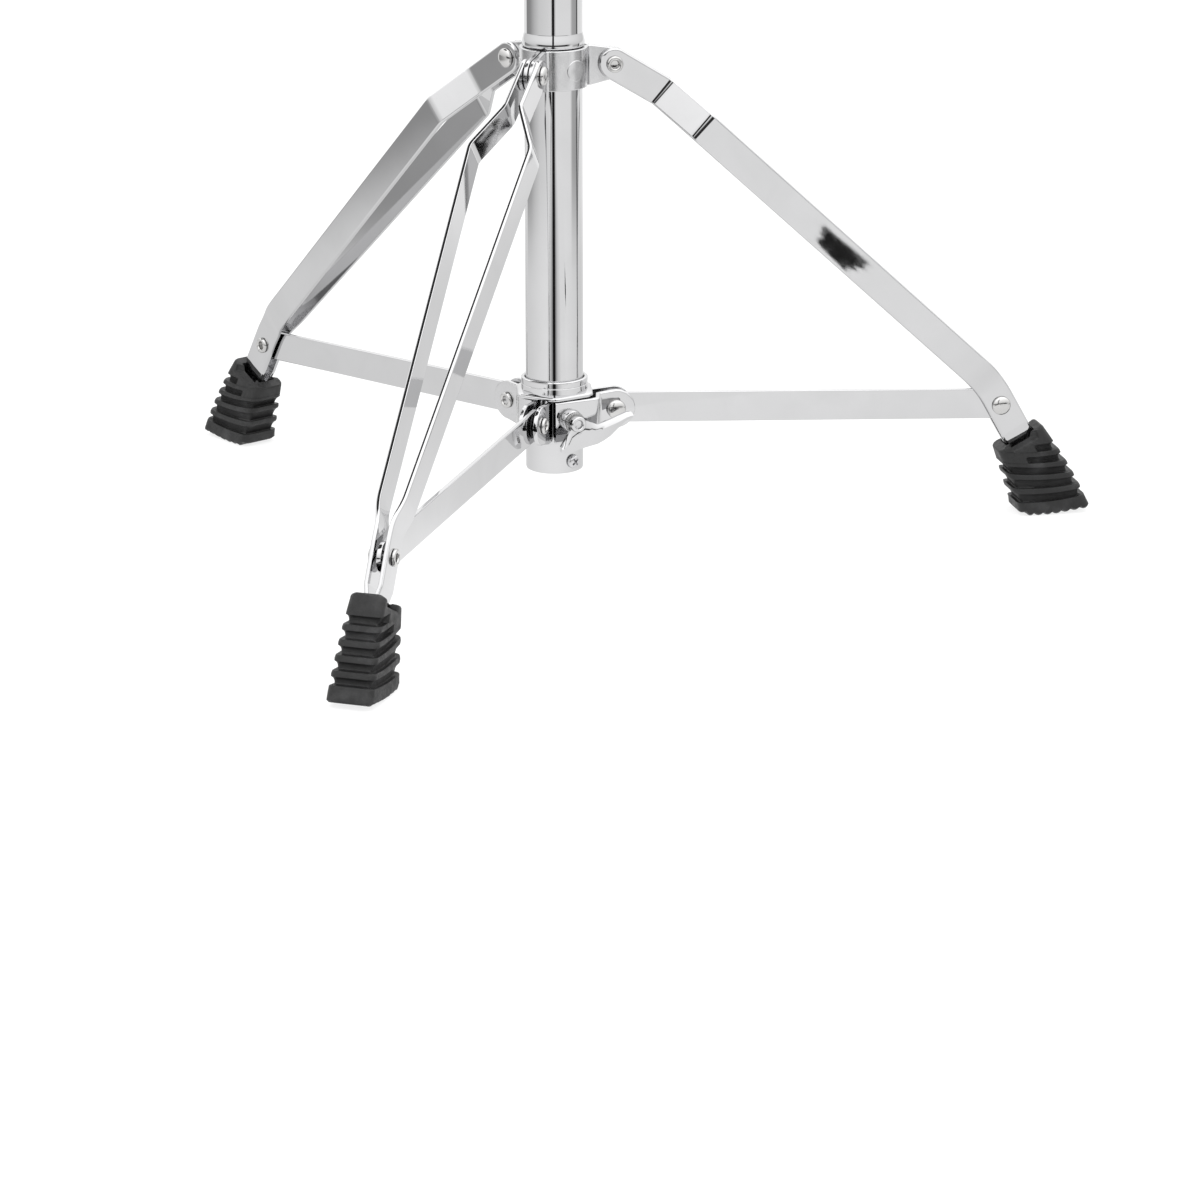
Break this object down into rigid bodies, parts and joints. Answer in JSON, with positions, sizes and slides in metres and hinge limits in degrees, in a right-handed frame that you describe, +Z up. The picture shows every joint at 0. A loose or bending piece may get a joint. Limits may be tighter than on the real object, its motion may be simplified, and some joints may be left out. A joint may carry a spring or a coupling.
{
  "type": "folding tripod stand base",
  "caption": "Folding chromed tripod base of a cymbal stand: an upright tube, a fixed hub, a sliding hub with a wing bolt, double-strap legs, flat braces and ribbed rubber feet.",
  "frame": {"origin": "centre of the box of the whole base on the floor, below and in front of the tube", "axes": "+Z up along the tube, -Y towards the front leg, +X to the right; the tube stands 65.3 mm behind the origin along +Y"},
  "size_m": [0.4874, 0.4236, 0.4532],
  "materials": {
    "chrome": "bright polished chrome plate on tube, straps, hubs and wing bolts",
    "rivet": "plated steel rivets, slightly duller than the straps",
    "steel": "plain zinc-plated screw and nut",
    "dark_steel": "blackened steel washer",
    "black_plastic": "black moulded nylon washers, bush and end plug",
    "rubber": "black moulded rubber boots with a fine matt grain"
  },
  "bodies": {
    "base": {"base_tube": "chrome", "clamp_bush": "black_plastic", "clamp_nut": "steel", "front_leg_rivet": "rivet", "height_clamp": "chrome", "left_leg_rivet": "rivet", "right_leg_rivet": "rivet", "stop_screw": "steel", "tube_end_plug": "black_plastic", "upper_hub_plate_back": "chrome", "upper_hub_plate_front_left": "chrome", "upper_hub_plate_front_right": "chrome", "upper_hub_stud_back": "chrome", "upper_hub_stud_front_left": "chrome", "upper_hub_stud_front_right": "chrome"},
    "clamp_wing": {"clamp_wing_bolt": "chrome"},
    "lower_hub": {"front_hub_rivet": "rivet", "front_hub_washer_a": "black_plastic", "front_hub_washer_b": "black_plastic", "left_hub_rivet": "rivet", "left_hub_washer_a": "black_plastic", "left_hub_washer_b": "black_plastic", "lock_boss": "chrome", "lock_washer": "dark_steel", "lower_hub_plate_back": "chrome", "lower_hub_plate_front_left": "chrome", "lower_hub_plate_lock": "chrome", "lower_hub_sleeve": "chrome", "lower_hub_top_plate": "chrome", "right_hub_rivet": "rivet", "right_hub_washer_a": "black_plastic", "right_hub_washer_b": "black_plastic"},
    "lock_wing": {"lock_wing_bolt": "chrome"},
    "front_leg": {"front_brace_rivet_head": "rivet", "front_brace_rivet_tail": "rivet", "front_foot": "rubber", "front_leg_strap_a": "chrome", "front_leg_strap_b": "chrome"},
    "front_brace": {"front_brace": "chrome"},
    "right_leg": {"right_brace_rivet_head": "rivet", "right_brace_rivet_tail": "rivet", "right_foot": "rubber", "right_leg_strap_a": "chrome", "right_leg_strap_b": "chrome"},
    "right_brace": {"right_brace": "chrome"},
    "left_leg": {"left_brace_rivet_head": "rivet", "left_brace_rivet_tail": "rivet", "left_foot": "rubber", "left_leg_strap_a": "chrome", "left_leg_strap_b": "chrome"},
    "left_brace": {"left_brace": "chrome"}
  },
  "joints": [
    {"name": "lower_hub_slide", "type": "slide", "parent": "base", "child": "lower_hub", "axis": [0, 0, 1], "range_m": [0, 0.1017]},
    {"name": "front_leg_hinge", "type": "hinge", "parent": "base", "child": "front_leg", "pos_m": [-0.00046, 0.0359, 0.2404], "axis": [0.9999, -0.0157, 0], "range_deg": [0, 45]},
    {"name": "front_brace_hinge", "type": "hinge", "parent": "lower_hub", "child": "front_brace", "pos_m": [-0.00048, 0.035, 0.0673], "axis": [0.9999, -0.0157, 0], "range_deg": [0, 83.9]},
    {"name": "right_leg_hinge", "type": "hinge", "parent": "base", "child": "right_leg", "pos_m": [0.02546, 0.07999, 0.2404], "axis": [-0.5, 0.866, 0], "range_deg": [0, 45]},
    {"name": "right_brace_hinge", "type": "hinge", "parent": "lower_hub", "child": "right_brace", "pos_m": [0.02624, 0.08044, 0.0673], "axis": [-0.5, 0.866, 0], "range_deg": [0, 83.9]},
    {"name": "left_leg_hinge", "type": "hinge", "parent": "base", "child": "left_leg", "pos_m": [-0.02546, 0.07999, 0.2404], "axis": [-0.5, -0.866, 0], "range_deg": [0, 45]},
    {"name": "left_brace_hinge", "type": "hinge", "parent": "lower_hub", "child": "left_brace", "pos_m": [-0.02624, 0.08044, 0.0673], "axis": [-0.5, -0.866, 0], "range_deg": [0, 83.9]},
    {"name": "lock_wing_hinge", "type": "hinge", "parent": "lower_hub", "child": "lock_wing", "pos_m": [0.01721, 0.04716, 0.0666], "axis": [0.6884, -0.7254, 0], "range_deg": [0, 120]},
    {"name": "clamp_wing_hinge", "type": "hinge", "parent": "base", "child": "clamp_wing", "pos_m": [0.02338, 0.05179, 0.437], "axis": [-0.5, -0.866, 0], "range_deg": [0, 90]}
  ],
  "couplings": [
    {"joint": "front_leg_hinge", "follows": "lower_hub_slide", "rad_per_m": 7.716},
    {"joint": "front_brace_hinge", "follows": "lower_hub_slide", "rad_per_m": 14.375},
    {"joint": "right_leg_hinge", "follows": "lower_hub_slide", "rad_per_m": 7.716},
    {"joint": "right_brace_hinge", "follows": "lower_hub_slide", "rad_per_m": 14.375},
    {"joint": "left_leg_hinge", "follows": "lower_hub_slide", "rad_per_m": 7.716},
    {"joint": "left_brace_hinge", "follows": "lower_hub_slide", "rad_per_m": 14.375}
  ]
}
